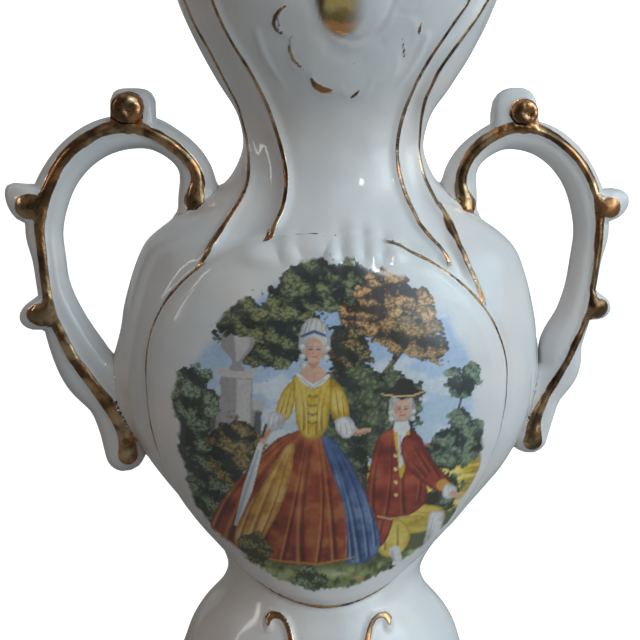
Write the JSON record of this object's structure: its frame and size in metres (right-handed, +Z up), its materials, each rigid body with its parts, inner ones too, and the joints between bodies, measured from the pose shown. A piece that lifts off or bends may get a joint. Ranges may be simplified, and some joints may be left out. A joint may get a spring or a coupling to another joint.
{
  "type": "porcelain amphora vase",
  "caption": "Handled porcelain amphora vase with a flattened oval belly, fluted flaring neck, scrolled ear handles and a domed foot; stands on display and holds flowers.",
  "frame": {"origin": "centre of the flat underside of the foot, on the body's axis", "axes": "+Z up along the body's axis; the panel that the picture shows faces -Y; the handles lie to -X and +X"},
  "size_m": [0.234, 0.12, 0.326],
  "materials": {
    "porcelain": "glossy clear glaze over white porcelain, with a painted garden scene in a round-topped panel and worn gold on ribs, scrolls, boss and handles"
  },
  "bodies": {
    "root": {"amphora": "porcelain"}
  },
  "joints": []
}
